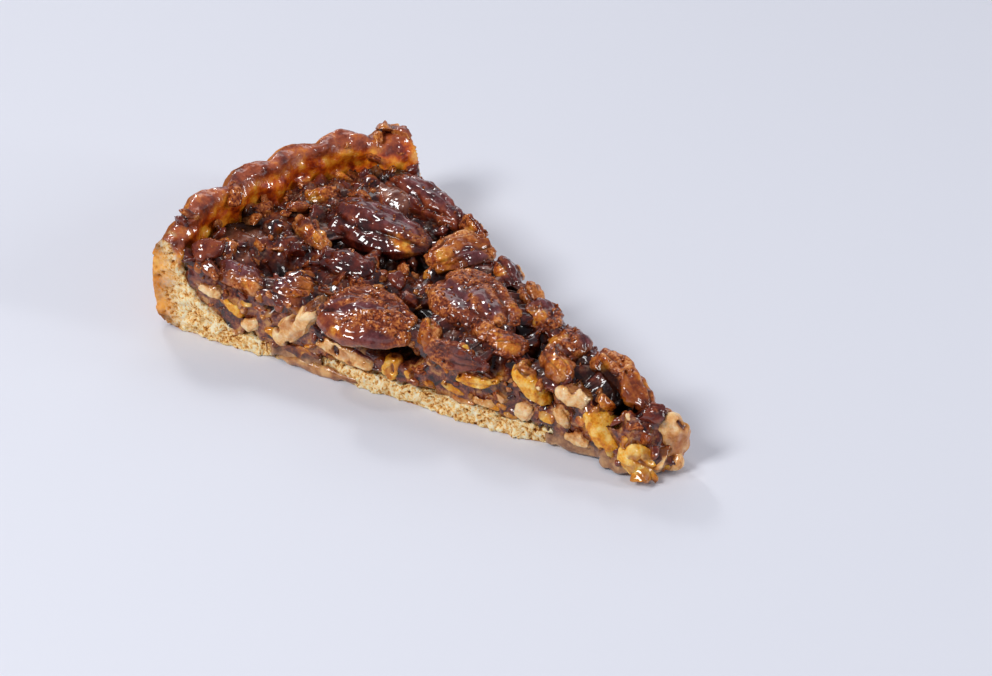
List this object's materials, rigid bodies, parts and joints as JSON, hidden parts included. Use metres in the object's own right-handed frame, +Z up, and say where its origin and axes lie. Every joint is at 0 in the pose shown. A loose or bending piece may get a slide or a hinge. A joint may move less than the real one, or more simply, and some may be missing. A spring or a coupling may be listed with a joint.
{
  "type": "pecan pie slice",
  "caption": "Wedge slice of baked pecan tart with a fluted short pastry crust, a dark caramel filling and glazed pecans on top and in the cut faces.",
  "frame": {"origin": "on the flat underside of the pastry, on the slice's centre line, 66 mm short of the centre of the tart's rim circle", "axes": "+X from the rim to the tip along the centre line, +Z up, -Y out of one cut face and +Y out of the other"},
  "size_m": [0.1359, 0.0785, 0.0303],
  "materials": {
    "pastry": "baked short pastry: crumbly and matt where cut, golden outside, amber glaze inside the rim",
    "caramel": "baked brown sugar and butter filling, dark, sticky and glossy",
    "skin_dark": "roasted pecan skin under syrup, maroon brown and glossy",
    "skin_tan": "roasted pecan skin under a dull bubbly sugar crust, tan brown",
    "skin_amber": "roasted pecan under clear amber syrup, orange brown and glossy",
    "flesh_cream": "cut pecan flesh, cream, with a thin brown skin",
    "flesh_gold": "cut pecan flesh stained yellow by syrup"
  },
  "bodies": {
    "root": {"pastry_crust": "pastry", "caramel_filling": "caramel", "pecan_half_01": "skin_dark", "pecan_half_02": "skin_tan", "pecan_half_03": "skin_tan", "pecan_half_04": "skin_dark", "pecan_half_05": "skin_amber", "pecan_half_06": "skin_amber", "pecan_piece_01": "skin_tan", "pecan_piece_02": "skin_dark", "pecan_piece_03": "skin_amber", "pecan_piece_04": "skin_tan", "pecan_piece_05": "skin_tan", "pecan_piece_06": "skin_tan", "pecan_piece_07": "skin_amber", "pecan_piece_08": "skin_amber", "pecan_piece_09": "skin_dark", "pecan_piece_10": "skin_dark", "pecan_piece_11": "skin_amber", "pecan_piece_12": "skin_amber", "pecan_piece_13": "skin_amber", "pecan_piece_14": "skin_dark", "pecan_piece_15": "skin_tan", "pecan_cut_01": "flesh_cream", "pecan_cut_02": "flesh_gold", "pecan_cut_03": "flesh_cream", "pecan_cut_04": "flesh_cream", "pecan_cut_05": "flesh_cream", "pecan_cut_06": "flesh_gold", "pecan_cut_07": "flesh_gold", "pecan_cut_09": "flesh_cream", "pecan_cut_10": "flesh_gold", "pecan_cut_11": "flesh_cream", "pecan_cut_12": "flesh_cream", "pecan_cut_13": "flesh_cream", "pecan_cut_14": "flesh_cream", "pecan_cut_15": "flesh_gold", "pecan_cut_21": "flesh_cream", "pecan_cut_22": "flesh_cream", "pecan_cut_23": "flesh_gold", "pecan_cut_24": "flesh_cream", "pecan_cut_25": "flesh_cream", "pecan_cut_27": "flesh_cream", "pecan_cut_29": "flesh_cream", "pecan_tip_01": "flesh_gold", "pecan_tip_02": "flesh_cream", "pecan_tip_03": "skin_dark"}
  },
  "joints": []
}
